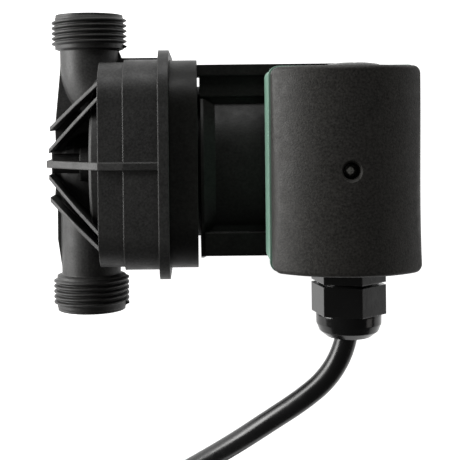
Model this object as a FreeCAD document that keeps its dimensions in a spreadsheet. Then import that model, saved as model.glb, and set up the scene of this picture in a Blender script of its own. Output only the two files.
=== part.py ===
"""In-line wet-rotor circulation pump, lying on its back.

X runs along the motor shaft, Y along the two ports and Z up, out of the terminal box cover. The origin is the
centre of the footprint, on the surface that the pump lies on. Millimetres.
"""
import FreeCAD, Part
import math
import os
import re

import Sketcher
from FreeCAD import Placement, Rotation, Vector

SIZES = [
    # (alias, value, what it is)
    ("overall_length", 146.0, "rib cage to far end of terminal box, along X"),
    ("cage_reach", 17.0, "port axis to end of rib cage"),
    ("axis_height", 46.0, "shaft axis above the resting surface"),
    # ports
    ("port_span", 130.0, "sealing face to sealing face"),
    ("thread_dia", 33.25, "G1 outside thread, crest"),
    ("thread_root", 30.3, "G1 outside thread, root"),
    ("thread_pitch", 2.309, "11 threads to the inch"),
    ("collar_len", 15.0, "threaded collar"),
    ("lead_in_dia", 29.8, "plain ring at the collar's mouth"),
    ("lead_in_len", 1.2, "length of that ring"),
    ("neck_dia", 26.0, "pipe between collar and volute"),
    ("port_bore", 21.0, "inlet water way"),
    ("outlet_way", 20.0, "outlet water way"),
    # stepped front housing, stations measured from the port axis
    ("step_one", 7.0, "start of first step"),
    ("step_two", 17.4, "start of second step"),
    ("flange_face", 31.7, "start of flange"),
    ("joint_face", 36.0, "joint between pump and motor"),
    ("step_one_span", 85.5, "first step along the ports"),
    ("step_one_size", 81.0, "height of first step"),
    ("step_two_span", 87.5, "second step along the ports"),
    ("step_two_size", 84.5, "height of second step"),
    ("flange_span", 95.0, "flange along the ports"),
    ("flange_size", 92.0, "height of flange"),
    ("step_corner", 15.0, "corner radius of the steps"),
    ("chamber_dia", 66.0, "impeller chamber"),
    ("chamber_start", 14.0, "front wall of the chamber"),
    ("ring_start", 10.8, "front of the wear ring, clear of the water way"),
    ("rib_thick", 1.9, "diagonal ribs"),
    ("equator_thick", 3.0, "middle rib"),
    # motor
    ("ring_end", 47.6, "end of motor flange ring"),
    ("ring_size", 87.0, "square side of ring"),
    ("ring_corner", 20.0, "corner radius of ring"),
    ("barrel_start", 48.8, "front wall of motor barrel"),
    ("barrel_end", 120.0, "back of motor barrel"),
    ("barrel_dia", 80.0, "outside"),
    ("barrel_bore", 72.0, "stator seat"),
    ("neck_ring_dia", 66.0, "spigot between ring and barrel"),
    ("screw_offset", 32.5, "flange screws from the shaft axis, in Y and in Z"),
    ("screw_dia", 5.0, "flange screws"),
    # rotor
    ("shaft_dia", 8.0, "rotor shaft"),
    ("shaft_play", 0.04, "radial running clearance"),
    ("impeller_dia", 52.0, "impeller"),
    ("bearing_dia", 16.0, "bearing bushes, outside"),
    ("can_dia", 40.0, "rotor can, outside"),
    ("can_wall", 0.4, "rotor can"),
    ("rotor_dia", 37.6, "rotor core"),
    ("stack_start", 62.0, "start of rotor and stator stacks"),
    ("stack_len", 40.0, "length of stator stack"),
    # terminal box, heights measured from the shaft axis
    ("box_start", 74.7, "near wall of the box, from the port axis"),
    ("box_low", -37.5, "gland side of the box"),
    ("box_high", 37.8, "knob side of the box"),
    ("box_floor", 42.0, "underside of the box"),
    ("box_joint", 72.6, "joint between base and cover"),
    ("cover_edge", 80.0, "height of the cover's shoulders"),
    ("cover_crown", 92.0, "height of the cover's crown"),
    ("box_wall", 2.4, "wall of base and cover"),
    ("fixing_along", 112.0, "box fixing screws from the port axis"),
    ("recess_dia", 7.7, "mouth of the cover screw's recess"),
    # knob
    ("knob_along", 107.9, "knob axis from the port axis"),
    ("knob_height", 57.3, "knob axis above the shaft axis"),
    ("knob_dia", 22.0, "selector knob"),
    ("spindle_dia", 6.0, "selector spindle"),
    # gland and lead
    ("gland_along", 105.2, "gland axis from the port axis"),
    ("gland_height", 58.0, "gland axis above the shaft axis"),
    ("gland_flats", 25.0, "across the flats of the gland"),
    ("gland_reach", 27.6, "gland in front of the box wall"),
    ("lead_dia", 8.6, "mains lead"),
    ("coil_lift", 0.8, "coil above the surface, by its tie"),
    ("coil_along", 39.8, "coil centre from the port axis"),
    ("coil_across", -214.0, "coil centre from the shaft axis"),
]

# The lead's way from inside the gland to its coil: from the port axis, from the shaft axis, and above it.
LEAD_ROUTE = [
    (105.2, -49.5, 58.0),
    (105.3, -61.2, 57.9),
    (102.6, -72.8, 57.1),
    (96.4, -83.4, 55.2),
    (86.6, -92.3, 52.0),
    (75.5, -101.0, 47.2),
    (63.9, -110.8, 40.6),
    (51.7, -121.0, 31.8),
    (39.2, -131.6, 20.8),
    (26.2, -142.8, 8.6),
    (14.8, -154.8, -3.8),
    (6.0, -167.2, -15.6),
    (-1.4, -180.2, -24.4),
    (-7.4, -193.4, -30.2),
    (-11.3, -206.8, -32.3),
]
# The box is screwed to the motor at these two places across the shaft.
FIXING_PLACES = (-11.0, 11.0)

# The lead's bare end leaves the coil at this angle round it.
TAIL_ANGLE = 320.0
TAIL_LENGTH = 30.0
CORE_LENGTH = 30.0
FERRULE_LENGTH = 8.0

doc = FreeCAD.newDocument("CirculationPump")
sheet = doc.addObject("Spreadsheet::Sheet", "Sizes")
for row, (alias, value, note) in enumerate(SIZES, start=1):
    sheet.set("A%d" % row, note)
    sheet.set("B%d" % row, str(value))
    sheet.setAlias("B%d" % row, alias)
doc.recompute()

ALIASES = [alias for alias, value, note in SIZES]
NODES = {}


# ---------------------------------------------------------------- helpers

def sheet_terms(expression):
    """Write an expression in sheet names as FreeCAD wants it, with Sizes. before each name."""
    def with_sheet(match):
        word = match.group()
        return "Sizes." + word if word in ALIASES else word
    return re.sub("[a-z_]+", with_sheet, str(expression))


def size(alias):
    """The number in one cell, for the few shapes that are made by Part's own functions."""
    return float(sheet.get(alias))


def along(station):
    """X of a station measured from the port axis."""
    return "%s + cage_reach - overall_length / 2" % station


def above(height):
    """Z of a height measured from the shaft axis."""
    return "axis_height + %s" % height


def point(station, across, height):
    """A point from the port and shaft axes, as a vector in the pump's frame."""
    shift = size("cage_reach") - size("overall_length") / 2
    return Vector(station + shift, across, height + size("axis_height"))


def bind(item, **settings):
    for name, expression in settings.items():
        item.setExpression(name.replace("__", "."), sheet_terms(expression))
    return item


def bind_base(item, place):
    for letter, expression in zip("xyz", place):
        item.setExpression("Placement.Base." + letter, sheet_terms(expression))
    return item


TURNS = {
    "X": Rotation(Vector(0, 1, 0), Vector(0, 0, 1), Vector(1, 0, 0), "ZXY"),
    "Y": Rotation(Vector(0, 0, 1), Vector(1, 0, 0), Vector(0, 1, 0), "ZXY"),
    "Z": Rotation(),
}
# A turned profile is drawn with its axis along the sketch's first axis.
SPINS = {
    "X": Rotation(),
    "Y": Rotation(Vector(0, 0, 1), 90),
    "Z": Rotation(Vector(0, 1, 0), -90),
}


def block(name, low, sides):
    """A box from its lowest corner and its three sides."""
    item = doc.addObject("Part::Box", name)
    bind(item, Length=sides[0], Width=sides[1], Height=sides[2])
    return bind_base(item, low)


def rod(name, axis, start, dia, length):
    """A cylinder that runs from start along axis."""
    item = doc.addObject("Part::Cylinder", name)
    item.Placement = Placement(Vector(), TURNS[axis])
    bind(item, Radius="( %s ) / 2" % dia, Height=length)
    return bind_base(item, start)


def hexagon(name, axis, start, flats, length, turn=0.0):
    item = doc.addObject("Part::Prism", name)
    item.Polygon = 6
    item.Placement = Placement(Vector(), TURNS[axis] * Rotation(Vector(0, 0, 1), turn))
    bind(item, Circumradius="( %s ) / sqrt(3)" % flats, Height=length)
    return bind_base(item, start)


def ring_seal(name, axis, centre, middle_dia, section):
    item = doc.addObject("Part::Torus", name)
    item.Placement = Placement(Vector(), TURNS[axis])
    bind(item, Radius1="( %s ) / 2" % middle_dia, Radius2="( %s ) / 2" % section)
    return bind_base(item, centre)


def fused(name, *items):
    item = doc.addObject("Part::MultiFuse", name)
    item.Shapes = list(items)
    return item


def cut(name, base, *tools):
    """The base with each tool taken away in turn."""
    for tool in tools:
        item = doc.addObject("Part::Cut", name)
        item.Base = base
        item.Tool = tool
        base = item
    return base


def common(name, base, tool):
    item = doc.addObject("Part::Common", name)
    item.Base = base
    item.Tool = tool
    return item


def group(name, items):
    item = doc.addObject("Part::Compound", name)
    item.Links = list(items)
    return item


def plane_of(body, role="XY_Plane"):
    return [feature for feature in body.Origin.OriginFeatures if feature.Role == role][0]


def bound_sketch(body, name, corners):
    """A closed outline whose corners are each bound to a pair of sheet expressions."""
    sketch = body.newObject("Sketcher::SketchObject", name)
    sketch.AttachmentSupport = [(plane_of(body), "")]
    sketch.MapMode = "FlatFace"
    count = len(corners)
    first_guess = []
    for index in range(count):
        angle = 2 * math.pi * index / count
        first_guess.append(Vector(10 * math.cos(angle), 10 * math.sin(angle), 0))
    for index in range(count):
        line = Part.LineSegment(first_guess[index], first_guess[(index + 1) % count])
        sketch.addGeometry(line, False)
    for index in range(count):
        sketch.addConstraint(Sketcher.Constraint("Coincident", index, 2, (index + 1) % count, 1))
    for index, corner in enumerate(corners):
        guess = first_guess[index]
        for kind, start, expression in (("DistanceX", guess.x, corner[0]), ("DistanceY", guess.y, corner[1])):
            place = sketch.addConstraint(Sketcher.Constraint(kind, -1, 1, index, 1, start))
            sketch.setExpression("Constraints[%d]" % place, sheet_terms(expression))
    return sketch


def turned(name, axis, start, corners):
    """A body of revolution. Each corner is (distance along the axis, radius)."""
    body = doc.addObject("PartDesign::Body", name)
    sketch = bound_sketch(body, name + "_profile", corners)
    spin = body.newObject("PartDesign::Revolution", name + "_turned")
    spin.Profile = sketch
    spin.ReferenceAxis = (sketch, ["H_Axis"])
    spin.Angle = 360
    body.Placement = Placement(Vector(), SPINS[axis])
    return bind_base(body, start)


def prism(name, axis, start, corners, length):
    """An outline drawn across the axis and padded along it."""
    body = doc.addObject("PartDesign::Body", name)
    sketch = bound_sketch(body, name + "_outline", corners)
    pad = body.newObject("PartDesign::Pad", name + "_pad")
    pad.Profile = sketch
    pad.setExpression("Length", sheet_terms(length))
    body.Placement = Placement(Vector(), TURNS[axis])
    return bind_base(body, start)


def edges_along(shape, direction):
    names = []
    for index, edge in enumerate(shape.Edges, start=1):
        if edge.Curve.TypeId == "Part::GeomLine":
            if abs(abs(edge.Curve.Direction.dot(direction)) - 1) < 1e-6:
                names.append("Edge%d" % index)
    return names


def rounded_slab(name, axis, start, centre, sides, length, radius):
    """A rectangle with rounded corners, centred across the axis and padded along it."""
    corners = []
    for sign_a, sign_b in ((-1, -1), (1, -1), (1, 1), (-1, 1)):
        corners.append((
            "%s + %d * ( %s ) / 2" % (centre[0], sign_a, sides[0]),
            "%s + %d * ( %s ) / 2" % (centre[1], sign_b, sides[1]),
        ))
    body = prism(name, axis, start, corners, length)
    doc.recompute()
    pad = body.Tip
    fillet = body.newObject("PartDesign::Fillet", name + "_corners")
    fillet.Base = (pad, edges_along(pad.Shape, Vector(0, 0, 1)))
    fillet.setExpression("Radius", sheet_terms(radius))
    return body


def made(name, shape):
    """A shape from Part's own functions."""
    item = doc.addObject("Part::Feature", name)
    item.Shape = shape
    return item


def node(name, item):
    """Name a finished sub-part. The label is its file's name."""
    item.Label = name
    NODES[name] = item
    return item


# ---------------------------------------------------------------- pump housing

def elbow_path(start, corner, end, radius):
    """Two straight runs and the arc that joins them, as one wire."""
    into = (corner - start).normalize()
    out = (end - corner).normalize()
    turn = into.getAngle(out)
    reach = radius * math.tan(turn / 2)
    first = corner - into * reach
    last = corner + out * reach
    bisector = (out - into).normalize()
    middle = corner + bisector * (radius / math.cos(turn / 2) - radius)
    return Part.Wire([
        Part.LineSegment(start, first).toShape(),
        Part.Arc(first, middle, last).toShape(),
        Part.LineSegment(last, end).toShape(),
    ])


def pipe_along(path, radius):
    """A round bar swept along a path of straight runs and tangent arcs."""
    edge = path.OrderedEdges[0]
    start = edge.valueAt(edge.FirstParameter)
    heading = edge.tangentAt(edge.FirstParameter)
    section = Part.Wire(Part.makeCircle(radius, start, heading))
    return path.makePipeShell([section], True, True)


def threaded_collar(sign):
    """One port's collar: a plain lead-in ring and a helical G1 thread, running inwards from the sealing face."""
    pitch = size("thread_pitch")
    root = size("thread_root") / 2
    crest = size("thread_dia") / 2
    ring = size("lead_in_len")
    collar = size("collar_len")
    half_flat = 0.12 * pitch
    run = collar - ring - 0.96 * pitch
    helix = Part.makeHelix(pitch, run, root)
    sunk = root - 0.3
    profile = Part.makePolygon([
        Vector(sunk, 0, -0.48 * pitch),
        Vector(crest, 0, -half_flat),
        Vector(crest, 0, half_flat),
        Vector(sunk, 0, 0.48 * pitch),
        Vector(sunk, 0, -0.48 * pitch),
    ])
    ridge = Part.Wire(helix.Edges).makePipeShell([Part.Wire(profile.Edges)], True, True)
    ridge.translate(Vector(0, 0, ring + 0.48 * pitch))
    core = Part.makeCylinder(root, collar)
    ring_step = Part.makeCylinder(size("lead_in_dia") / 2, ring)
    collar_shape = core.cut(Part.makeCylinder(crest, ring)).fuse([ring_step, ridge])
    axis = Vector(0, -sign, 0)
    face = point(0, sign * size("port_span") / 2, 0)
    collar_shape.Placement = Placement(face, Rotation(Vector(0, 0, 1), axis))
    return collar_shape


def pump_housing():
    steps = [
        rounded_slab("step_one_block", "X", (along("step_one"), "0", "axis_height"), ("0", "0"),
                     ("step_one_span", "step_one_size"), "step_two - step_one + 0.5", "step_corner"),
        rounded_slab("step_two_block", "X", (along("step_two"), "0", "axis_height"), ("0", "0"),
                     ("step_two_span", "step_two_size"), "flange_face - step_two", "step_corner"),
        rounded_slab("flange_block", "X", (along("flange_face"), "0", "axis_height"), ("0", "0"),
                     ("flange_span", "flange_size"), "joint_face - flange_face", "step_corner + 2"),
    ]
    volute = turned("volute_dome", "X", (along("0"), "0", "axis_height"), [
        ("step_one - 4", "0"), ("step_one + 1", "0"), ("step_one + 1", "38.5"), ("step_one - 3", "38"),
        ("step_one - 4", "36.5"),
    ])
    inlet_bend = turned("inlet_bend", "X", (along("0"), "0", "axis_height"), [
        ("step_one + 1", "0"), ("step_one + 1", "neck_dia / 2 + 0.6"), ("-1", "neck_dia / 2 + 0.6"),
        ("-6", "neck_dia / 2 - 1"), ("-10", "neck_dia / 2 - 4.4"), ("-12.6", "neck_dia / 2 - 9"),
        ("-13.2", "neck_dia / 2 - 13"),
    ])
    hub = rod("hub_boss", "X", (along("-2.5"), "0", above("14")), "15", "14")
    pin = rod("nose_boss", "X", (along("2 - cage_reach"), "0", above("11")), "8.6", "cage_reach + 2")
    inlet_pipe = rod("inlet_pipe", "Y", (along("0"), "6 - port_span / 2", "axis_height"),
                     "neck_dia", "port_span / 2 - 6")
    inlet_root = turned("inlet_root", "Y", (along("0"), "collar_len - port_span / 2", "axis_height"), [
        ("-1.2", "0"), ("0.8", "0"), ("0.8", "neck_dia / 2"), ("0", "thread_root / 2"), ("-1.2", "thread_root / 2"),
    ])
    outlet_root = turned("outlet_root", "Y", (along("0"), "port_span / 2 - collar_len", "axis_height"), [
        ("1.2", "0"), ("1.2", "thread_root / 2"), ("0", "thread_root / 2"), ("-0.8", "neck_dia / 2"), ("-0.8", "0"),
    ])
    outlet_start = point(0, size("port_span") / 2 - 6, 0)
    outlet_bend = point(0, 36, 0)
    outlet_end = point(19, 14, 0)
    outlet_path = elbow_path(outlet_start, outlet_bend, outlet_end, 22)
    outlet_pipe = made("outlet_pipe", pipe_along(outlet_path, size("neck_dia") / 2))
    web = prism("cage_web", "Z", (along("0"), "0", above("-2")), [
        ("-12.3", "port_span / 2 - collar_len"), ("-13.2", "38"), ("-15.4", "16"), ("-15.2", "9.5"),
        ("0 - cage_reach", "6"), ("0 - cage_reach", "-6"), ("-15.2", "-9.5"), ("-15.6", "-14"),
        ("-14.6", "-18"), ("-14.6", "-34"), ("-12.3", "collar_len - port_span / 2"),
        ("step_one + 1", "collar_len - port_span / 2 + 2"), ("step_one + 1", "port_span / 2 - collar_len - 2"),
    ], "4")

    rib_plan = []
    for sign in (-1, 1):
        for left, low, high in ((-15.4, 15.0, 34.5), (-16.0, 5.6, 28.0)):
            run = 23.4
            rise = (high - low) / run
            rib_plan.append(prism("cage_rib", "Z", (along("0"), "0", above("-40")), [
                (str(left), "%f - rib_thick / 2" % (sign * low)),
                (str(left + run), "%f - rib_thick / 2" % (sign * (low + rise * run))),
                (str(left + run), "%f + rib_thick / 2" % (sign * (low + rise * run))),
                (str(left), "%f + rib_thick / 2" % (sign * low)),
            ], "80"))
    wedge = prism("rib_wedge", "Y", (along("0"), "-45", "axis_height"), [
        ("-16", "0 - cage_reach"), ("16", "0 - cage_reach"), ("30", "-4"), ("38.5", "step_one + 1"),
        ("-38.5", "step_one + 1"), ("-30", "-4"),
    ], "90")
    ribs = common("cage_ribs", fused("rib_plan", *rib_plan), wedge)
    equator = prism("equator_rib", "Y", (along("0"), "0 - equator_thick / 2", "axis_height"), [
        ("-17", "0 - cage_reach"), ("17", "0 - cage_reach"), ("31", "-4"), ("41.4", "step_one"),
        ("43.6", "step_two"), ("43.6", "flange_face + 1"), ("-43.6", "flange_face + 1"),
        ("-43.6", "step_two"), ("-41.4", "step_one"), ("-31", "-4"),
    ], "equator_thick")
    top_rib = block("top_rib", (along("step_one + 7"), "step_two_span / 2 - 1", above("-2")),
                    ("flange_face - step_one - 6", "3.2", "4"))
    gusset = prism("port_gusset", "Z", (along("0"), "0", above("-1.5")), [
        ("11", "port_span / 2 - collar_len + 1"), ("12.4", "port_span / 2 - collar_len + 1"),
        ("step_one + 9", "step_one_span / 2 - 1"), ("3", "step_one_span / 2 - 1"),
    ], "3")

    inlet_bore = rod("inlet_bore", "Y", (along("0"), "-1 - port_span / 2", "axis_height"),
                     "port_bore", "port_span / 2 + 3")
    eye_bore = rod("eye_bore", "X", (along("0"), "0", "axis_height"), "port_bore", "chamber_start + 1")
    seat_bore = rod("wear_seat", "X", (along("ring_start"), "0", "axis_height"), "32", "chamber_start - step_one")
    bore_path = elbow_path(point(0, size("port_span") / 2 + 1, 0), outlet_bend, point(20, 13, 0), 22)
    outlet_bore = made("outlet_bore", pipe_along(bore_path, size("outlet_way") / 2))
    chamber = rod("chamber", "X", (along("chamber_start"), "0", "axis_height"),
                  "chamber_dia", "joint_face - chamber_start + 1")
    groove = cut("seal_groove",
                 rod("groove_outer", "X", (along("joint_face - 2"), "0", "axis_height"), "74", "3"),
                 rod("groove_inner", "X", (along("joint_face - 3"), "0", "axis_height"), "69", "5"))
    screw_holes = []
    for sign_y in (-1, 1):
        for sign_z in (-1, 1):
            screw_holes.append(rod("housing_screw_hole", "X", (
                along("joint_face - 12"), "%d * screw_offset" % sign_y, above("%d * screw_offset" % sign_z),
            ), "screw_dia", "13"))
    collars = [made("collar", threaded_collar(sign)) for sign in (-1, 1)]
    solid = fused("housing_solid", *steps, volute, inlet_bend, hub, pin, inlet_pipe, inlet_root, outlet_root, outlet_pipe,
                  web, ribs, equator, top_rib, gusset, *collars)
    node("pump_housing", cut("housing_cut", solid, inlet_bore, eye_bore, seat_bore, outlet_bore, chamber, groove,
                             *screw_holes))
    node("housing_seal", ring_seal("seal", "X", (along("joint_face - 1"), "0", "axis_height"), "71.5", "2"))
    node("wear_ring", turned("wear_ring_body", "X", (along("0"), "0", "axis_height"), [
        ("ring_start", "13.3"), ("chamber_start", "13.3"), ("chamber_start", "16"), ("ring_start", "16"),
    ]))


# ---------------------------------------------------------------- rotor and its bearings

def rotor():
    axis_start = (along("0"), "0", "axis_height")
    node("impeller_shroud", turned("shroud", "X", axis_start, [
        ("step_one + 4", "11"), ("16.5", "11"), ("18", "12.5"), ("18", "impeller_dia / 2"),
        ("16.6", "impeller_dia / 2"), ("16.2", "13"), ("step_one + 4", "13"),
    ]))
    back = turned("impeller_back", "X", axis_start, [
        ("19", "shaft_dia / 2"), ("31", "shaft_dia / 2"), ("31", "8"), ("26.5", "9"),
        ("26", "impeller_dia / 2"), ("24", "impeller_dia / 2"), ("23", "10"), ("19", "6"),
    ])
    blades = []
    blade_count = 6
    for index in range(blade_count):
        blade = block("impeller_blade", (along("18"), "0", "axis_height"), ("6.5", "15", "1.6"))
        angle = 360.0 * index / blade_count
        blade.Placement.Rotation = Rotation(Vector(1, 0, 0), angle)
        turn = Rotation(Vector(1, 0, 0), angle)
        offset = turn.multVec(Vector(0, 10.2, -5.0))
        blade.setExpression("Placement.Base.y", "%.6f" % offset.y)
        blade.setExpression("Placement.Base.z", "Sizes.axis_height + %.6f" % offset.z)
        blades.append(blade)
    node("impeller", fused("impeller_fused", back, *blades))
    node("rotor_shaft", turned("shaft", "X", axis_start, [
        ("20", "0"), ("114", "0"), ("114", "shaft_dia / 2 - 0.6"), ("113.4", "shaft_dia / 2"),
        ("20.6", "shaft_dia / 2"), ("20", "shaft_dia / 2 - 0.6"),
    ]))
    node("thrust_washer", turned("washer", "X", axis_start, [
        ("31", "shaft_dia / 2"), ("32.4", "shaft_dia / 2"), ("32.4", "7.6"), ("31", "7.6"),
    ]))
    node("rotor_core", turned("core", "X", axis_start, [
        ("stack_start + 2", "shaft_dia / 2"), ("stack_start + stack_len - 2", "shaft_dia / 2"),
        ("stack_start + stack_len - 2", "rotor_dia / 2 - 1"), ("stack_start + stack_len - 3", "rotor_dia / 2"),
        ("stack_start + 3", "rotor_dia / 2"), ("stack_start + 2", "rotor_dia / 2 - 1"),
    ]))
    for name, start, end in (("front_bearing", "32.8", "42"), ("rear_bearing", "107", "115")):
        node(name, turned(name + "_body", "X", axis_start, [
            (start, "shaft_dia / 2 + shaft_play"), (end, "shaft_dia / 2 + shaft_play"),
            (end, "bearing_dia / 2"), (start, "bearing_dia / 2"),
        ]))
    node("bearing_plate", turned("plate", "X", axis_start, [
        ("34", "bearing_dia / 2"), ("42", "bearing_dia / 2"), ("42", "bearing_dia / 2 + 2"),
        ("joint_face", "bearing_dia / 2 + 3.5"), ("joint_face", "chamber_dia / 2"), ("34.6", "chamber_dia / 2"),
        ("34", "chamber_dia / 2 - 2"),
    ]))
    node("rotor_can", turned("can", "X", axis_start, [
        ("joint_face", "can_dia / 2 - can_wall"), ("joint_face", "31"), ("joint_face + 0.8", "31"),
        ("joint_face + 0.8", "can_dia / 2"), ("106.4", "can_dia / 2"), ("106.4", "bearing_dia / 2 + 1"),
        ("118", "bearing_dia / 2 + 1"), ("118", "6"), ("116.5", "6"), ("116.5", "bearing_dia / 2"),
        ("106", "bearing_dia / 2"), ("106", "can_dia / 2 - can_wall"),
    ]))
    node("can_seal", ring_seal("can_ring", "X", (along("joint_face + 1.8"), "0", "axis_height"), "48", "2"))


# ---------------------------------------------------------------- motor

def motor():
    axis_start = (along("0"), "0", "axis_height")
    ring = rounded_slab("ring_block", "X", (along("joint_face"), "0", "axis_height"), ("0", "0"),
                        ("ring_size", "ring_size"), "ring_end - joint_face", "ring_corner")
    ring_bore = rod("ring_bore", "X", (along("joint_face - 1"), "0", "axis_height"), "neck_ring_dia", "20")
    pockets = []
    screws = []
    for sign_y in (-1, 1):
        for sign_z in (-1, 1):
            across = "%d * screw_offset" % sign_y
            height = above("%d * screw_offset" % sign_z)
            pockets.append(rod("ring_hole", "X", (along("joint_face - 1"), across, height), "screw_dia", "20"))
            pockets.append(rod("ring_pocket", "X", (along("ring_end - 5.4"), across, height), "9.2", "8"))
            shank = rod("screw_shank", "X", (along("joint_face - 11"), across, height),
                        "screw_dia", "ring_end - joint_face + 6")
            head = rod("screw_head", "X", (along("ring_end - 5.4"), across, height), "8.5", "5")
            socket = hexagon("screw_socket", "X", (along("ring_end - 3"), across, height), "4", "4")
            screws.append(cut("flange_screw", fused("screw_solid", shank, head), socket))
    node("motor_flange", cut("ring_cut", ring, ring_bore, *pockets))
    node("flange_screws", group("screw_group", screws))

    neck = turned("motor_neck", "X", axis_start, [
        ("joint_face + 0.8", "can_dia / 2 + 0.2"), ("joint_face + 0.8", "22.8"), ("joint_face + 2.8", "22.8"),
        ("joint_face + 2.8", "25.2"), ("joint_face + 0.8", "25.2"), ("joint_face + 0.8", "neck_ring_dia / 2"),
        ("barrel_start + 2", "neck_ring_dia / 2"), ("barrel_start + 2", "28"), ("joint_face + 5", "28"),
        ("joint_face + 5", "can_dia / 2 + 0.2"),
    ])
    barrel = turned("motor_barrel", "X", axis_start, [
        ("barrel_start", "28"), ("barrel_start", "ring_size / 2 - 0.8"), ("barrel_start + 1.2", "ring_size / 2 - 0.8"),
        ("barrel_start + 6", "barrel_dia / 2"),
        ("barrel_end", "barrel_dia / 2"), ("barrel_end", "barrel_bore / 2"), ("barrel_start + 3.4", "barrel_bore / 2"),
        ("barrel_start + 3.4", "28"),
    ])
    side_block = block("side_block", (along("barrel_start"), "-38", above("-31")),
                       ("barrel_end - barrel_start - 2", "79", "62"))
    rails = [
        block("top_rail", (along("ring_end"), "36.6", above("8")), ("barrel_end - ring_end - 2", "4.4", "28")),
        block("top_rail_step", (along("barrel_start"), "28", above("30")), ("barrel_end - barrel_start - 2", "9", "3.4")),
        block("low_rail", (along("barrel_start + 1.6"), "-37", above("28")), ("barrel_end - barrel_start - 4", "9", "5.6")),
    ]
    pad = block("box_pad", (along("box_start + 4"), "-16", above("30")), ("38", "32", "box_floor - 30"))
    feet = []
    for across in ("-19.5", "17"):
        feet.append(block("foot_rib", (along("58"), across, "0"), ("50", "2.5", "18")))
    clear_bore = rod("stator_bore", "X", (along("barrel_start + 3.4"), "0", "axis_height"), "barrel_bore", "90")
    front_bore = rod("front_bore", "X", (along("barrel_start - 1"), "0", "axis_height"), "56", "6")
    wire_way = rod("wire_way", "Z", (along("84"), "0", above("30")), "9", "20")
    fixing_ways = []
    for across in FIXING_PLACES:
        fixing_ways.append(rod("fixing_way", "Z", (along("fixing_along"), str(across), above("30")), "3.5", "20"))
    shell = cut("motor_shell", fused("motor_blocks", barrel, side_block, pad, *rails, *feet),
                clear_bore, front_bore, wire_way, *fixing_ways)
    node("motor_housing", fused("motor_fused", shell, neck))

    node("stator_core", turned("stator_body", "X", axis_start, [
        ("stack_start", "can_dia / 2 + 0.3"), ("stack_start + stack_len", "can_dia / 2 + 0.3"),
        ("stack_start + stack_len", "barrel_bore / 2"), ("stack_start", "barrel_bore / 2"),
    ]))
    liners = []
    coils = []
    for name, near, far in (("front", "stack_start", "stack_start - 7.5"),
                            ("rear", "stack_start + stack_len", "stack_start + stack_len + 7.5")):
        sign = "-" if name == "front" else "+"
        liners.append(turned(name + "_liner", "X", axis_start, [
            (near, "21.5"), ("%s %s 1" % (near, sign), "21.5"), ("%s %s 1" % (near, sign), "34.5"), (near, "34.5"),
        ]))
        coils.append(turned(name + "_winding", "X", axis_start, [
            ("%s %s 1" % (near, sign), "23"), ("%s %s 6" % (near, sign), "23"), (far, "25"), (far, "31"),
            ("%s %s 6" % (near, sign), "33"), ("%s %s 1" % (near, sign), "33"),
        ]))
    node("slot_insulators", group("liner_group", liners))
    node("stator_windings", group("coil_group", coils))
    node("motor_end_cap", turned("cap", "X", axis_start, [
        ("116", "33"), ("116", "barrel_bore / 2"), ("barrel_end", "barrel_bore / 2"),
        ("barrel_end", "barrel_dia / 2"), ("123", "barrel_dia / 2"), ("126", "barrel_dia / 2 - 4"), ("126", "11"),
        ("121.5", "9.4"), ("119.5", "9.4"), ("119.5", "14"), ("122", "17"), ("122", "33"),
    ]))
    plug = turned("plug_body", "X", axis_start, [
        ("116.5", "0"), ("126", "0"), ("126", "7.4"), ("125.2", "8.2"), ("119", "8.2"), ("119", "6"), ("116.5", "6"),
    ])
    slot = block("plug_slot", (along("124"), "-9", above("-0.8")), ("3", "18", "1.6"))
    node("vent_plug", cut("plug_cut", plug, slot))
    node("vent_seal", turned("vent_ring", "X", axis_start, [
        ("118", "6"), ("119", "6"), ("119", "8"), ("118", "8"),
    ]))


# ---------------------------------------------------------------- terminal box

BOX_MIDDLE = "( box_start + overall_length - cage_reach ) / 2"
BOX_CENTRE = "( box_low + box_high ) / 2"
BOX_LENGTH = "overall_length - cage_reach - box_start"
BOX_SPAN = "box_high - box_low"


def box_slab(name, bottom, height, inset, radius):
    """A rounded rectangle on the terminal box's outline, set in by inset."""
    return rounded_slab(
        name, "Z", ("cage_reach - overall_length / 2", "0", above(bottom)), (BOX_MIDDLE, BOX_CENTRE),
        ("%s - 2 * ( %s )" % (BOX_LENGTH, inset), "%s - 2 * ( %s )" % (BOX_SPAN, inset)), height, radius)


def arch(name, inset, drop):
    """The cover's barrel vault: a cylinder along Y that meets the shoulders and the crown."""
    half = "( %s ) / 2" % BOX_LENGTH
    rise = "( cover_crown - cover_edge )"
    radius = "( %s * %s + %s * %s ) / ( 2 * %s )" % (half, half, rise, rise, rise)
    item = rod(name, "Y", (along(BOX_MIDDLE), "box_low + %s" % inset, above("cover_crown - %s" % radius)),
               "2 * ( %s - %s )" % (radius, drop), "%s - 2 * ( %s )" % (BOX_SPAN, inset))
    return item


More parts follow.
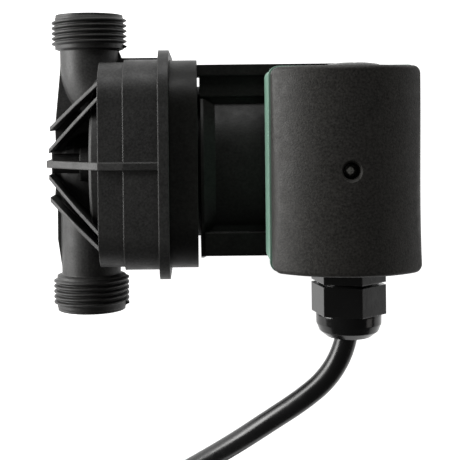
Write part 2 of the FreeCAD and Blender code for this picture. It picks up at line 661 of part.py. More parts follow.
def terminal_box():
    outer = box_slab("base_outer", "box_floor", "box_joint - box_floor", "0", "3")
    lip = box_slab("base_lip", "box_joint - 2", "2", "-0.7", "3.7")
    inner = box_slab("base_inner", "box_floor + box_wall", "40", "box_wall", "1")
    post = rod("cover_post", "Z", (along(BOX_MIDDLE), BOX_CENTRE, above("box_floor + 1")), "8", "24")
    post_hole = rod("cover_post_hole", "Z", (along(BOX_MIDDLE), BOX_CENTRE, above("box_floor + 8")), "3.4", "30")
    gland_hole = rod("gland_hole", "Y", (along("gland_along"), "box_low - 2", above("gland_height")), "20", "6")
    knob_hole = rod("knob_hole", "Y", (along("knob_along"), "box_high - 5", above("knob_height")),
                    "spindle_dia + 2 * shaft_play", "8")
    wire_hole = rod("wire_hole", "Z", (along("84"), "0", above("box_floor - 1")), "9", "6")
    fixings = []
    fixing_holes = []
    for across in FIXING_PLACES:
        place = (along("fixing_along"), str(across), above("box_floor - 5"))
        fixing_holes.append(rod("fixing_hole", "Z", place, "3.5", "12"))
        shank = rod("fixing_shank", "Z", place, "3.5", "8")
        head = rod("fixing_head", "Z", (along("fixing_along"), str(across), above("box_floor + box_wall")), "7", "2.4")
        slot = block("fixing_slot", (along("fixing_along - 4"), "%f - 0.5" % across, above("box_floor + box_wall + 1.4")),
                     ("8", "1", "2"))
        fixings.append(cut("fixing", fused("fixing_solid", shank, head), slot))
    shell = cut("base_shell", fused("base_walls", outer, lip), inner)
    node("terminal_box_base", cut("base_cut", fused("base_all", shell, post), post_hole, gland_hole, knob_hole,
                                  wire_hole, *fixing_holes))
    node("box_fixing_screws", group("fixing_group", fixings))
    node("box_gasket", cut("gasket", box_slab("gasket_outer", "box_joint", "0.6", "0.7", "2.3"),
                           box_slab("gasket_inner", "box_joint - 1", "3", "1.9", "1.1")))

    cover_outer = box_slab("cover_outer", "box_joint + 0.6", "cover_crown - box_joint", "0", "3")
    cover_inner = box_slab("cover_inner", "box_joint - 1", "cover_crown - box_joint", "box_wall", "1")
    vault_outer = common("vault_outer", cover_outer, arch("arch_outer", "-2", "0"))
    doc.recompute()
    rounded = doc.addObject("Part::Fillet", "cover_rounded")
    rounded.Base = vault_outer
    rounded.Edges = shoulder_edges(vault_outer.Shape)
    vault_inner = common("vault_inner", cover_inner, arch("arch_inner", "-2", "box_wall"))
    tube = rod("screw_tube", "Z", (along(BOX_MIDDLE), BOX_CENTRE, above("box_floor + 26")), "9.5",
               "cover_crown - box_floor - 28")
    recess = turned("screw_recess", "Z", (along(BOX_MIDDLE), BOX_CENTRE, above("cover_crown")), [
        ("-6.4", "0"), ("1", "0"), ("1", "recess_dia / 2 + 1"), ("0", "recess_dia / 2"), ("-1", "3.1"),
        ("-6.4", "2.9"),
    ])
    screw_hole = rod("cover_screw_hole", "Z", (along(BOX_MIDDLE), BOX_CENTRE, above("box_floor")), "3.4", "60")
    shell = cut("cover_shell", rounded, vault_inner)
    node("terminal_box_cover", cut("cover_cut", fused("cover_fused", shell, tube), recess, screw_hole))
    shank = rod("cover_screw_shank", "Z", (along(BOX_MIDDLE), BOX_CENTRE, above("box_floor + 10")), "3.4",
                "cover_crown - box_floor - 16")
    head = turned("cover_screw_head", "Z", (along(BOX_MIDDLE), BOX_CENTRE, above("cover_crown - 6.4")), [
        ("0", "0"), ("2.6", "0"), ("2.4", "1.2"), ("1.6", "2.2"), ("0.8", "2.5"), ("0", "2.5"),
    ])
    cross = [
        block("cross_one", (along("%s - 1.4" % BOX_MIDDLE), "%s - 0.35" % BOX_CENTRE, above("cover_crown - 5")),
              ("2.8", "0.7", "2")),
        block("cross_two", (along("%s - 0.35" % BOX_MIDDLE), "%s - 1.4" % BOX_CENTRE, above("cover_crown - 5")),
              ("0.7", "2.8", "2")),
    ]
    node("cover_screw", cut("cover_screw_cut", fused("cover_screw_solid", shank, head), *cross))


def shoulder_edges(shape):
    """The cover's outer edges and their radii: soft along the two shoulders and the two arched ends."""
    picked = []
    shoulder = size("axis_height") + size("cover_edge")
    for index, edge in enumerate(shape.Edges, start=1):
        box = edge.BoundBox
        if box.ZMin < shoulder - 4.5:
            continue
        straight_shoulder = box.YLength > 40
        radius = 3.4 if straight_shoulder else 1.5
        picked.append((index, radius, radius))
    return picked


def inside_box():
    length = "20"
    body = block("block_body", (along("83"), "-21", above("box_floor + box_wall")), (length, "13", "12"))
    holes = []
    screws = []
    for index in range(3):
        place = along("%f" % (86.3 + 6.7 * index))
        holes.append(rod("wire_port", "Y", (place, "-22", above("box_floor + box_wall + 4")), "4", "15"))
        holes.append(rod("screw_port", "Z", (place, "-14.5", above("box_floor + box_wall + 6")), "4.4", "8"))
        screw = rod("clamp_screw", "Z", (place, "-14.5", above("box_floor + box_wall + 6.2")), "4.2", "4")
        slot = block("clamp_slot", (place + " - 3", "-15", above("box_floor + box_wall + 9.2")), ("6", "1", "2"))
        screws.append(cut("terminal_screw", screw, slot))
    node("terminal_block", cut("block_cut", body, *holes))
    node("terminal_screws", group("terminal_group", screws))
    node("run_capacitor", turned("capacitor", "X", (along("79.5"), "15", above("56")), [
        ("0", "0"), ("36", "0"), ("36", "7"), ("35", "8.2"), ("1", "8.2"), ("0", "7.2"),
    ]))
    switch = block("switch_body", (along("knob_along - 9"), "box_high - box_wall - 10", above("knob_height - 9")),
                   ("18", "10", "18"))
    switch_hole = rod("switch_hole", "Y", (along("knob_along"), "box_high - box_wall - 11", above("knob_height")),
                      "spindle_dia + 2 * shaft_play", "12")
    node("selector_switch", cut("switch_cut", switch, switch_hole))
    knob = turned("knob_turned", "Y", (along("knob_along"), "box_high", above("knob_height")), [
        ("-9", "0"), ("2.4", "0"), ("2.2", "knob_dia / 2 - 5"), ("1.7", "knob_dia / 2 - 1.4"), ("1.2", "knob_dia / 2 - 0.3"),
        ("0.3", "knob_dia / 2"), ("0.3", "spindle_dia / 2"), ("-9", "spindle_dia / 2"),
    ])
    knob_slot = block("knob_slot", (along("knob_along - 0.9"), "box_high + 1.2", above("knob_height - 7")),
                      ("1.8", "2", "14"))
    node("selector_knob", cut("knob_cut", knob, knob_slot))


# ---------------------------------------------------------------- cable gland

GLAND_TURN = 12.0


def gland():
    start = (along("gland_along"), "box_low", above("gland_height"))

    def toward_mouth(distance):
        return (start[0], "box_low - %s" % distance, start[2])

    body_hex = hexagon("gland_hex", "Y", toward_mouth("6.4"), "gland_flats", "6.4", GLAND_TURN)
    shank = rod("gland_shank", "Y", toward_mouth("17"), "19.9", "26")
    bore = rod("gland_bore", "Y", toward_mouth("18"), "lead_dia + 1", "40")
    seal_seat = rod("seal_seat", "Y", toward_mouth("18"), "15", "10")
    node("gland_body", cut("gland_body_cut", fused("gland_solid", body_hex, shank), bore, seal_seat))
    node("gland_locknut", cut("locknut_cut",
                              hexagon("locknut_hex", "Y", (start[0], "box_low + box_wall", start[2]), "24", "4"),
                              rod("locknut_bore", "Y", (start[0], "box_low", start[2]), "19.9", "10")))
    node("gland_seal", turned("seal_turned", "Y", start, [
        ("-8", "lead_dia / 2"), ("-8", "7.5"), ("-17.6", "7.5"), ("-22", "6.6"), ("-22", "lead_dia / 2"),
    ]))
    nut_hex = hexagon("nut_hex", "Y", toward_mouth("18.6"), "gland_flats", "11.2", GLAND_TURN)
    nut_skirt = turned("nut_skirt", "Y", start, [
        ("-7", "10.4"), ("-7", "11.8"), ("-18.6", "12.4"), ("-19.2", "12.6"), ("-22.5", "12.5"), ("-25.4", "11.3"),
        ("0 - gland_reach", "8.6"), ("0 - gland_reach", "lead_dia / 2 + 0.6"), ("-23", "lead_dia / 2 + 0.6"),
        ("-22.2", "7"), ("-17.4", "9.95"), ("-7.4", "9.95"),
    ])
    thread_way = rod("nut_bore", "Y", toward_mouth("18.8"), "19.9", "14")
    node("gland_nut", fused("gland_nut_fused", cut("nut_hex_cut", nut_hex, thread_way), nut_skirt))


# ---------------------------------------------------------------- mains lead

def bent_path(points):
    """Straight runs joined by tangent arcs, each as large as its two runs allow. Prints the radii."""
    edges = []
    radii = []
    start = points[0]
    for before, corner, after in zip(points, points[1:], points[2:]):
        into = (corner - before)
        out = (after - corner)
        shorter = min(into.Length, out.Length)
        turn = into.getAngle(out)
        reach = 0.45 * shorter
        radii.append(reach / math.tan(turn / 2))
        into.normalize()
        out.normalize()
        first = corner - into * reach
        last = corner + out * reach
        bisector = (out - into).normalize()
        middle = corner + bisector * (radii[-1] / math.cos(turn / 2) - radii[-1])
        edges.append(Part.LineSegment(start, first).toShape())
        edges.append(Part.Arc(first, middle, last).toShape())
        start = last
    edges.append(Part.LineSegment(start, points[-1]).toShape())
    print("lead radii", " ".join("%.0f" % radius for radius in radii))
    return Part.Wire(edges)


def coil_point(angle, radius, height):
    centre = point(size("coil_along"), size("coil_across"), 0)
    turn = math.radians(angle)
    return Vector(centre.x + radius * math.cos(turn), centre.y + radius * math.sin(turn), height)


def lead():
    dia = size("lead_dia")
    radius = dia / 2
    path = bent_path([point(*place) for place in LEAD_ROUTE])
    tube = pipe_along(path, radius)
    expected = math.pi * radius * radius * path.Length
    print("lead tube length %.1f, volume against section times length %.4f" % (path.Length, tube.Volume / expected))
    node("mains_lead", made("lead_tube", tube))

    middle_radius = 5.5 * dia
    lift = size("coil_lift")
    centre = point(size("coil_along"), size("coil_across"), 0)
    ring = turned("coil_ring", "Z", ("%.4f" % centre.x, "coil_across", "coil_lift"), [
        ("0", "4.5 * lead_dia"), ("0", "6.5 * lead_dia"), ("2 * lead_dia", "6.5 * lead_dia"),
        ("2 * lead_dia", "4.5 * lead_dia"),
    ])
    node("lead_coil", ring)
    tie_angle = 240.0
    side = 2 * dia
    wrap = 0.7
    outer = Part.makeBox(side + 2 * wrap, 6, side + 2 * wrap,
                         Vector(middle_radius - side / 2 - wrap, -3, lift - wrap))
    inner = Part.makeBox(side, 8, side, Vector(middle_radius - side / 2, -4, lift))
    band = outer.cut(inner)
    band.Placement = Placement(Vector(centre.x, centre.y, 0), Rotation(Vector(0, 0, 1), tie_angle))
    node("coil_tie", made("tie_band", band))

    turn = math.radians(TAIL_ANGLE)
    heading = Vector(-math.sin(turn), math.cos(turn), 0)
    tail_start = coil_point(TAIL_ANGLE, middle_radius + dia / 2, lift + radius)
    tail_end = tail_start + heading * TAIL_LENGTH
    node("lead_tail", made("tail_tube", Part.makeCylinder(radius, TAIL_LENGTH, tail_start, heading)))
    side_way = Vector(-heading.y, heading.x, 0)
    cores = []
    ferrules = []
    core_dia = 2.4
    for index in range(3):
        swing = math.radians((index - 1) * 9)
        core_heading = heading * math.cos(swing) + side_way * math.sin(swing)
        core_start = tail_end + side_way * ((index - 1) * (core_dia + 0.3))
        core_start.z = lift + core_dia / 2 + 0.2
        core = Part.makeCylinder(core_dia / 2, CORE_LENGTH, core_start, core_heading)
        cores.append(core)
        tip = core_start + core_heading * CORE_LENGTH
        collar = Part.makeCone(1.5, 1.0, 2.5, tip, core_heading)
        pin = Part.makeCylinder(0.8, FERRULE_LENGTH - 2.5, tip + core_heading * 2.5, core_heading)
        ferrules.append(collar.fuse(pin))
    node("lead_cores", made("core_wires", Part.makeCompound(cores)))
    node("core_ferrules", made("ferrule_set", Part.makeCompound(ferrules)))


def export():
    """Check every object, then write each sub-part to parts/."""
    doc.recompute()
    for item in doc.Objects:
        if "Invalid" in item.State or "Error" in item.State:
            raise RuntimeError("%s failed: %s" % (item.Name, item.State))
    os.makedirs("parts", exist_ok=True)
    for name, item in NODES.items():
        shape = item.Shape
        if shape.isNull() or not shape.isValid() or not shape.Solids:
            raise RuntimeError("%s has no valid solid" % name)
        shape.exportStep("parts/%s.step" % name)
    print(len(NODES), "sub-parts written")


pump_housing()
rotor()
motor()
terminal_box()
inside_box()
gland()
lead()
export()
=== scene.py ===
"""The looks of the circulation pump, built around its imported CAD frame. Metres."""
import math

import bpy
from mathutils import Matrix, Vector


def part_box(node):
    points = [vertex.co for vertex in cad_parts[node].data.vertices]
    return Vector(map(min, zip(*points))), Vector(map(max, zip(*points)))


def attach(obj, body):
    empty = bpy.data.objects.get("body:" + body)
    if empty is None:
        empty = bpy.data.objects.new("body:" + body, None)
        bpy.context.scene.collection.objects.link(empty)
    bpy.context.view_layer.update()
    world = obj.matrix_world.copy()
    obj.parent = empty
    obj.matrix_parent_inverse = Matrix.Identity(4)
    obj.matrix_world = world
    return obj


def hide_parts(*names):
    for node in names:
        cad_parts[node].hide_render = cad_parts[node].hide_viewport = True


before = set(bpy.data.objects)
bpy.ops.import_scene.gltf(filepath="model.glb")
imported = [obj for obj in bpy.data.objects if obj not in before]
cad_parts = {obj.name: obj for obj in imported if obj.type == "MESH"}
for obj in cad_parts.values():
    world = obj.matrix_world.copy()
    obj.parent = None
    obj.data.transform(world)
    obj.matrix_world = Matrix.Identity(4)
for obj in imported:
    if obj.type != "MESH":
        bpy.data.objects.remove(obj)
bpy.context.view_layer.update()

MM = 0.001
WEAR_RING_STATION = 10.8 * MM


def corner(node, which):
    """The lowest (0) or highest (1) corner of a node at rest."""
    return Vector(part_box(node)[which])


# The two axes that everything is measured from: the ports' and the shaft's.
SHAFT_LOW, SHAFT_HIGH = corner("rotor_shaft", 0), corner("rotor_shaft", 1)
WEAR_LOW = corner("wear_ring", 0)
PORT_X = WEAR_LOW.x - WEAR_RING_STATION
AXIS_Z = (SHAFT_LOW.z + SHAFT_HIGH.z) / 2


def place(station, across, height):
    """A point from the port axis, the shaft axis and the shaft's height, in millimetres, as part.py gives it."""
    return Vector((PORT_X + station * MM, across * MM, AXIS_Z + height * MM))


# ---------------------------------------------------------------- materials

def new_material(name):
    material = bpy.data.materials.new(name)
    material.use_nodes = True
    nodes = material.node_tree.nodes
    return material, nodes, material.node_tree.links, nodes["Principled BSDF"]


def noise(nodes, links, scale, detail=3.0, roughness=0.55, stretch=(1, 1, 1)):
    """Noise in the object's own metres."""
    coordinates = nodes.new("ShaderNodeTexCoord")
    mapping = nodes.new("ShaderNodeMapping")
    mapping.inputs["Scale"].default_value = stretch
    links.new(coordinates.outputs["Object"], mapping.inputs["Vector"])
    texture = nodes.new("ShaderNodeTexNoise")
    texture.inputs["Scale"].default_value = scale
    texture.inputs["Detail"].default_value = detail
    texture.inputs["Roughness"].default_value = roughness
    links.new(mapping.outputs["Vector"], texture.inputs["Vector"])
    return texture.outputs["Fac"]


def spread(nodes, links, value, low, high):
    """The middle of a noise, stretched to run from low to high."""
    node = nodes.new("ShaderNodeMapRange")
    node.inputs["From Min"].default_value = 0.3
    node.inputs["From Max"].default_value = 0.7
    node.inputs["To Min"].default_value = low
    node.inputs["To Max"].default_value = high
    links.new(value, node.inputs["Value"])
    return node.outputs["Result"]


def blend_colors(nodes, links, factor, dark, light):
    mix = nodes.new("ShaderNodeMix")
    mix.data_type = "RGBA"
    links.new(factor, mix.inputs["Factor"])
    for socket, value in (("A", dark), ("B", light)):
        target = [item for item in mix.inputs if item.name == socket and item.type == "RGBA"][0]
        if hasattr(value, "links"):
            links.new(value, target)
        else:
            target.default_value = (*value, 1.0)
    return [item for item in mix.outputs if item.type == "RGBA"][0]


def edge_mask(nodes, links, radius, gain):
    """Painted edge highlight: bright where the surface turns a corner, by how far the rounded normal leans from the
    true one.
    """
    bevel = nodes.new("ShaderNodeBevel")
    bevel.samples = 6
    bevel.inputs["Radius"].default_value = radius
    geometry = nodes.new("ShaderNodeNewGeometry")
    dot = nodes.new("ShaderNodeVectorMath")
    dot.operation = "DOT_PRODUCT"
    links.new(bevel.outputs["Normal"], dot.inputs[0])
    links.new(geometry.outputs["Normal"], dot.inputs[1])
    lean = nodes.new("ShaderNodeMath")
    lean.operation = "SUBTRACT"
    lean.inputs[0].default_value = 1.0
    links.new(dot.outputs["Value"], lean.inputs[1])
    scaled = nodes.new("ShaderNodeMath")
    scaled.operation = "MULTIPLY"
    scaled.use_clamp = True
    scaled.inputs[1].default_value = gain
    links.new(lean.outputs["Value"], scaled.inputs[0])
    return bevel.outputs["Normal"], scaled.outputs["Value"]


# The third colour serves both random pale specks and the painted edge highlight on the corners.
def moulded(name, dark, light, speck_and_highlight, rough, grain, depth, edge=0.0006, specular=0.5, cloud=60.0,
             speckle=0.0):
    """A moulded or painted skin: cloudy colour, fine grain, softened edges that are a little paler from a painted
    edge highlight.
    """
    material, nodes, links, shader = new_material(name)
    rounded, edge_highlight = edge_mask(nodes, links, edge, 2.2)
    clouds = spread(nodes, links, noise(nodes, links, cloud, 5.0), 0.0, 1.0)
    tone = blend_colors(nodes, links, clouds, dark, light)
    specks = spread(nodes, links, noise(nodes, links, grain * 0.7, 2.0), 0.0, speckle)
    tone = blend_colors(nodes, links, specks, tone, speck_and_highlight)
    # Painted edge highlight: corners are blended towards the pale colour as if light caught them.
    links.new(blend_colors(nodes, links, edge_highlight, tone, speck_and_highlight), shader.inputs["Base Color"])
    patches = noise(nodes, links, cloud * 3.3, 4.0)
    links.new(spread(nodes, links, patches, rough - 0.06, rough + 0.06), shader.inputs["Roughness"])
    bump = nodes.new("ShaderNodeBump")
    bump.inputs["Strength"].default_value = 0.55
    bump.inputs["Distance"].default_value = depth
    links.new(noise(nodes, links, grain, 2.0), bump.inputs["Height"])
    links.new(rounded, bump.inputs["Normal"])
    links.new(bump.outputs["Normal"], shader.inputs["Normal"])
    shader.inputs["Specular IOR Level"].default_value = specular
    return material


def metal(name, color, rough, stretch=(1, 1, 1), grain=900.0):
    """Bare or plated metal with fine drawn or turned marks along one direction."""
    material, nodes, links, shader = new_material(name)
    marks = noise(nodes, links, grain, 4.0, 0.6, stretch)
    darker = tuple(0.72 * channel for channel in color)
    tone = blend_colors(nodes, links, spread(nodes, links, marks, 0.0, 1.0), darker, color)
    links.new(tone, shader.inputs["Base Color"])
    links.new(spread(nodes, links, marks, rough - 0.08, rough + 0.1), shader.inputs["Roughness"])
    shader.inputs["Metallic"].default_value = 1.0
    bump = nodes.new("ShaderNodeBump")
    bump.inputs["Strength"].default_value = 0.3
    bump.inputs["Distance"].default_value = 0.00002
    links.new(marks, bump.inputs["Height"])
    links.new(bump.outputs["Normal"], shader.inputs["Normal"])
    return material


def core_insulation(name, color, stripe=None):
    """A core's glossy insulation, with a second colour down one side of the earth core."""
    material, nodes, links, shader = new_material(name)
    cloud = spread(nodes, links, noise(nodes, links, 300.0), 0.0, 1.0)
    tone = blend_colors(nodes, links, cloud, tuple(0.8 * channel for channel in color), color)
    if stripe:
        geometry = nodes.new("ShaderNodeNewGeometry")
        split = nodes.new("ShaderNodeSeparateXYZ")
        links.new(geometry.outputs["Normal"], split.inputs["Vector"])
        above = nodes.new("ShaderNodeMath")
        above.operation = "GREATER_THAN"
        above.inputs[1].default_value = 0.35
        links.new(split.outputs["Z"], above.inputs[0])
        tone = blend_colors(nodes, links, above.outputs["Value"], tone, stripe)
    links.new(tone, shader.inputs["Base Color"])
    links.new(spread(nodes, links, noise(nodes, links, 900.0), 0.28, 0.4), shader.inputs["Roughness"])
    return material


# Each skin's third colour is for its random specks and its painted edge highlight.
HOUSING = moulded("housing_moulding", (0.0035, 0.0034, 0.0033), (0.0105, 0.0102, 0.0097), (0.075, 0.074, 0.072),
                  0.52, 1500.0, 0.0001, 0.0007, 0.42, 60.0, 0.26)
PAINT = moulded("motor_paint", (0.002, 0.002, 0.0018), (0.005, 0.0048, 0.0041), (0.04, 0.039, 0.036),
                0.46, 1300.0, 0.00008, 0.0006, 0.18, 60.0, 0.16)
COVER = moulded("cover_grey", (0.004, 0.0036, 0.003), (0.0095, 0.0086, 0.0074), (0.085, 0.082, 0.075),
                0.56, 1700.0, 0.00016, 0.0006, 0.3, 90.0, 0.28)
GREEN = moulded("base_green", (0.13, 0.235, 0.18), (0.16, 0.275, 0.215), (0.3, 0.42, 0.36),
                0.5, 1700.0, 0.00005, 0.0005, 0.4)
KNOB = moulded("knob_black", (0.006, 0.006, 0.006), (0.011, 0.011, 0.011), (0.05, 0.05, 0.05),
               0.42, 1600.0, 0.00004, 0.0004)
GLAND = moulded("gland_black", (0.0035, 0.0035, 0.0036), (0.006, 0.006, 0.006), (0.02, 0.02, 0.02),
                0.16, 700.0, 0.00003, 0.0006, 0.28)
SHEATH = moulded("lead_sheath", (0.0035, 0.0035, 0.0037), (0.0065, 0.0065, 0.0067), (0.01, 0.01, 0.01),
                 0.27, 520.0, 0.00005, 0.0002, 0.34, 40.0)
RUBBER = moulded("rubber_seal", (0.012, 0.012, 0.012), (0.02, 0.02, 0.02), (0.04, 0.04, 0.04),
                 0.6, 1300.0, 0.00004, 0.0002)
NATURAL = moulded("impeller_plastic", (0.55, 0.52, 0.45), (0.68, 0.65, 0.57), (0.8, 0.78, 0.72),
                  0.45, 1200.0, 0.00004, 0.0003)
CARBON = moulded("carbon_bush", (0.02, 0.02, 0.021), (0.045, 0.045, 0.046), (0.1, 0.1, 0.1),
                 0.34, 2400.0, 0.00003, 0.0002)
WHITE = moulded("insulator_plastic", (0.68, 0.67, 0.62), (0.78, 0.77, 0.72), (0.85, 0.85, 0.8),
                0.42, 1500.0, 0.00003, 0.0003)
CERAMIC = moulded("ceramic_shaft", (0.72, 0.7, 0.64), (0.82, 0.8, 0.75), (0.9, 0.9, 0.86),
                  0.22, 1900.0, 0.00001, 0.0002)
STEEL = metal("steel_plain", (0.62, 0.61, 0.59), 0.3, (1, 6, 6))
ROTOR = metal("rotor_steel", (0.5, 0.5, 0.51), 0.32, (8, 1, 1))
LAMINATED = metal("lamination_steel", (0.33, 0.33, 0.34), 0.46, (14, 0.6, 0.6), 400.0)
ZINC = metal("screw_steel", (0.62, 0.62, 0.58), 0.42, (1, 1, 1), 1500.0)
BRASS = metal("brass_plug", (0.72, 0.54, 0.26), 0.3, (1, 5, 5))
COPPER = metal("winding_copper", (0.65, 0.26, 0.1), 0.35, (0.4, 9, 9), 700.0)
TIN = metal("ferrule_tin", (0.68, 0.68, 0.68), 0.28, (3, 3, 1), 1500.0)

NODE_MATERIALS = {
    HOUSING: ["pump_housing"],
    PAINT: ["motor_flange", "motor_housing", "motor_end_cap"],
    COVER: ["terminal_box_cover"],
    GREEN: ["terminal_box_base"],
    KNOB: ["selector_knob"],
    GLAND: ["gland_body", "gland_nut", "gland_locknut"],
    RUBBER: ["housing_seal", "can_seal", "vent_seal", "box_gasket", "gland_seal"],
    NATURAL: ["impeller", "impeller_shroud"],
    CARBON: ["thrust_washer", "front_bearing", "rear_bearing"],
    WHITE: ["slot_insulators", "terminal_block", "run_capacitor", "selector_switch"],
    CERAMIC: ["rotor_shaft"],
    STEEL: ["wear_ring", "bearing_plate", "rotor_can"],
    ROTOR: ["rotor_core"],
    LAMINATED: ["stator_core"],
    ZINC: ["flange_screws", "box_fixing_screws", "cover_screw"],
    BRASS: ["vent_plug", "terminal_screws"],
    COPPER: ["stator_windings"],
    TIN: ["core_ferrules"],
}


def dress_nodes():
    """Give every CAD node that stays its finished material."""
    for material, names in NODE_MATERIALS.items():
        for name in names:
            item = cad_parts[name]
            if not item.data.materials:
                item.data.materials.append(material)
            for slot in item.material_slots:
                slot.material = material


# ---------------------------------------------------------------- mains lead

LEAD_DIA = 8.6 * MM
COIL_LIFT = 0.8 * MM
COIL_CENTRE = place(39.8, -214.0, 0)
LANDING_ANGLE = 172.0
TAIL_ANGLE = 320.0
TAIL_LENGTH = 30 * MM
COIL_STEP = 15.0
# Degrees wound at which the coil changes layer, and how long each change takes.
GOES_IN, GOES_DOWN, GOES_OUT = 300, 595, 885
CHANGE_OVER = 55
FLOOR_REACH = 3.0

LEAD_ROUTE = [place(*spot) for spot in (
    (105.2, -49.5, 58.0),
    (105.3, -61.2, 57.9),
    (102.6, -72.8, 57.1),
    (96.4, -83.4, 55.2),
    (86.6, -92.3, 52.0),
    (75.5, -101.0, 47.2),
    (63.9, -110.8, 40.6),
    (51.7, -121.0, 31.8),
    (39.2, -131.6, 20.8),
    (26.2, -142.8, 8.6),
    (14.8, -154.8, -3.8),
    (6.0, -167.2, -15.6),
    (-1.4, -180.2, -24.4),
    (-7.4, -193.4, -30.2),
    (-11.3, -206.8, -32.3),
)]


def eased(value):
    """0 to 1 with a soft start and stop."""
    value = min(max(value, 0.0), 1.0)
    return value * value * (3 - 2 * value)


def coil_spot(angle, radius, height):
    turn = math.radians(angle)
    return Vector((
        COIL_CENTRE.x + radius * math.cos(turn),
        COIL_CENTRE.y + radius * math.sin(turn),
        height,
    ))


def coil_turns():
    """Four turns two by two: round the top outside, in, down, and out again at the bottom."""
    inner = 5 * LEAD_DIA
    low = COIL_LIFT + LEAD_DIA / 2
    last = TAIL_ANGLE + 3 * 360 - LANDING_ANGLE
    steps = int(last / COIL_STEP)
    spots = []
    for index in range(1, steps + 1):
        wound = last * index / steps
        inward = eased((wound - GOES_IN) / CHANGE_OVER)
        down = eased((wound - GOES_DOWN) / CHANGE_OVER)
        outward = eased((wound - GOES_OUT) / CHANGE_OVER)
        radius = inner + LEAD_DIA * (1 - inward + outward)
        height = low + LEAD_DIA * (1 - down)
        spots.append(coil_spot(LANDING_ANGLE + wound, radius, height))
    return spots


def tail_spots():
    turn = math.radians(TAIL_ANGLE)
    heading = Vector((-math.sin(turn), math.cos(turn), 0))
    start = coil_spot(TAIL_ANGLE, 6 * LEAD_DIA, COIL_LIFT + LEAD_DIA / 2)
    return [start + heading * TAIL_LENGTH * part for part in (0.35, 0.7, 1.0)], heading


def nurbs_tube(name, spots, radius, material):
    """One open NURBS spline, with the spots as its control points, thickened to a tube."""
    curve = bpy.data.curves.new(name, "CURVE")
    curve.dimensions = "3D"
    curve.resolution_u = 10
    # Blender widens a curve's box by its points' own radius, so they carry the tube's, and the bevel is 1.
    curve.bevel_depth = 1.0
    curve.bevel_resolution = 8
    curve.use_fill_caps = True
    spline = curve.splines.new("NURBS")
    spline.points.add(len(spots) - 1)
    for point, spot in zip(spline.points, spots):
        point.co = (*spot, 1.0)
        point.radius = radius
    spline.order_u = 3
    spline.use_endpoint_u = True
    curve.materials.append(material)
    item = bpy.data.objects.new(name, curve)
    bpy.context.scene.collection.objects.link(item)
    return item


def spline_length(item):
    """The length of a curve's centre line."""
    depth = item.data.bevel_depth
    item.data.bevel_depth = 0
    depsgraph = bpy.context.evaluated_depsgraph_get()
    line = bpy.data.meshes.new_from_object(item.evaluated_get(depsgraph), depsgraph=depsgraph)
    item.data.bevel_depth = depth
    spots = [vertex.co for vertex in line.vertices]
    return sum((b - a).length for a, b in zip(spots, spots[1:]))


def core_wires(tail_end, heading):
    """The three bare cores past the sheath's end, each swinging out to its ferrule."""
    sideways = Vector((-heading.y, heading.x, 0))
    colors = (
        core_insulation("core_brown", (0.13, 0.045, 0.018)),
        core_insulation("core_earth", (0.03, 0.2, 0.05), (0.62, 0.5, 0.04)),
        core_insulation("core_blue", (0.02, 0.08, 0.35)),
    )
    wires = []
    for index, material in enumerate(colors):
        swing = math.radians((index - 1) * 9)
        core_heading = heading * math.cos(swing) + sideways * math.sin(swing)
        start = tail_end + sideways * ((index - 1) * 2.7 * MM)
        start.z = COIL_LIFT + 1.4 * MM
        spots = [start - heading * 1.5 * MM] + [start + core_heading * 30 * MM * part for part in (0.2, 0.6, 1.0)]
        wire = nurbs_tube("core_wire_%d" % (index + 1), spots, 1.2 * MM, material)
        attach(wire, "casing")
        wires.append(wire)
    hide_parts("lead_cores")
    return wires


def strap_tie():
    """A nylon tie round the coil: a soft-cornered band."""
    low, high = corner("coil_tie", 0), corner("coil_tie", 1)
    centre = (low + high) / 2
    out = Vector((centre.x - COIL_CENTRE.x, centre.y - COIL_CENTRE.y, 0)).normalized()
    along = Vector((-out.y, out.x, 0))
    half = LEAD_DIA + 0.35 * MM
    round_off = 3.4 * MM
    loop = []
    for quarter in range(4):
        for step in range(7):
            angle = math.radians(90 * quarter + 15 * step)
            sign_x = 1 if quarter in (0, 3) else -1
            sign_z = 1 if quarter in (0, 1) else -1
            loop.append((
                sign_x * (half - round_off) + round_off * math.cos(angle),
                sign_z * (half - round_off) + round_off * math.sin(angle),
            ))
    thick = 0.6 * MM
    wide = 2.4 * MM
    verts = []
    for x, z in loop:
        normal = Vector((x, 0, z)).normalized()
        for side, lift in ((-wide, 0), (wide, 0), (wide, 1), (-wide, 1)):
            spot = centre + out * (x + normal.x * thick * lift) + along * side
            spot.z = centre.z + z + normal.z * thick * lift
            verts.append(spot)
    faces = []
    count = len(loop)
    for index in range(count):
        after = (index + 1) % count
        for side in range(4):
            faces.append((index * 4 + side, index * 4 + (side + 1) % 4, after * 4 + (side + 1) % 4, after * 4 + side))
    mesh = bpy.data.meshes.new("tie_band")
    mesh.from_pydata(verts, [], faces)
    band = bpy.data.objects.new("tie_band", mesh)
    bpy.context.scene.collection.objects.link(band)
    mesh.materials.append(KNOB)
    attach(band, "casing")
    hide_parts("coil_tie")
    return band


def mains_lead():
    tail, heading = tail_spots()
    spots = LEAD_ROUTE + coil_turns() + tail
    lead = nurbs_tube("lead_sheath", spots, LEAD_DIA / 2, SHEATH)
    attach(lead, "casing")
    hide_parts("mains_lead", "lead_coil", "lead_tail")
    wires = core_wires(tail[-1], heading)
    round(spline_length(lead), 3)
    wires + [strap_tie(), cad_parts["core_ferrules"]]


# ---------------------------------------------------------------- stage, light and camera

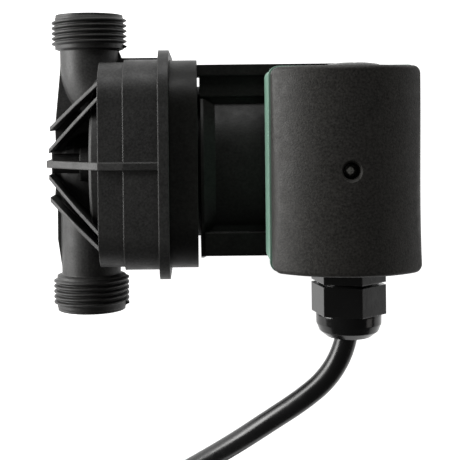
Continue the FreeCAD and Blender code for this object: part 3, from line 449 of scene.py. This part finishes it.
def stage():
    mesh = bpy.data.meshes.new("floor")
    corners = [(-1, -1), (1, -1), (1, 1), (-1, 1)]
    mesh.from_pydata([(FLOOR_REACH * x, FLOOR_REACH * y, 0) for x, y in corners], [], [(0, 1, 2, 3)])
    floor = bpy.data.objects.new("floor", mesh)
    bpy.context.scene.collection.objects.link(floor)
    floor.location.z = -0.0002
    material, nodes, links, shader = new_material("floor_white")
    shader.inputs["Base Color"].default_value = (0.9, 0.9, 0.9, 1)
    shader.inputs["Roughness"].default_value = 0.9
    shader.inputs["Emission Color"].default_value = (1, 1, 1, 1)
    shader.inputs["Emission Strength"].default_value = 0.93
    mesh.materials.append(material)


def area_light(name, spot, aim, width, height, power, color):
    data = bpy.data.lights.new(name, "AREA")
    data.shape = "RECTANGLE"
    data.size = width
    data.size_y = height
    data.energy = power
    data.color = color
    item = bpy.data.objects.new(name, data)
    item.location = spot
    item.rotation_euler = (Vector(aim) - Vector(spot)).to_track_quat("-Z", "Y").to_euler()
    bpy.context.scene.collection.objects.link(item)


def lights():
    world = bpy.data.worlds.new("studio")
    bpy.context.scene.world = world
    world.use_nodes = True
    background = world.node_tree.nodes["Background"]
    background.inputs["Color"].default_value = (1.0, 0.99, 0.97, 1)
    background.inputs["Strength"].default_value = 0.11
    middle = (0.0, 0.0, AXIS_Z)
    area_light("key_left", (-0.8, 0.12, 0.22), middle, 0.5, 0.35, 9.5, (1.0, 0.995, 0.985))
    area_light("fill_right", (0.8, -0.2, 0.4), middle, 0.3, 0.3, 0.4, (1.0, 0.96, 0.92))
    area_light("top_back", (0.0, 0.85, 0.5), middle, 0.6, 0.3, 5.0, (1.0, 1.0, 1.0))


# The lens stands this far from the port axis, the shaft axis and the shaft's height, in millimetres.
CAMERA_SPOT = (46.7, 21.2, 440.0)
CAMERA_ROLL = math.radians(-0.6)
CAMERA_LENS = 77.4
CAMERA_SHIFT = (0.076, -0.254)


def camera():
    data = bpy.data.cameras.new("camera")
    data.sensor_width = 36.0
    data.lens = CAMERA_LENS
    data.shift_x, data.shift_y = CAMERA_SHIFT
    data.clip_start = 0.01
    item = bpy.data.objects.new("camera", data)
    item.location = place(*CAMERA_SPOT)
    item.rotation_euler = (0, 0, CAMERA_ROLL)
    bpy.context.scene.collection.objects.link(item)
    bpy.context.scene.camera = item
    bpy.context.scene.view_settings.view_transform = "Standard"


dress_nodes()
mains_lead()
stage()
lights()
camera()
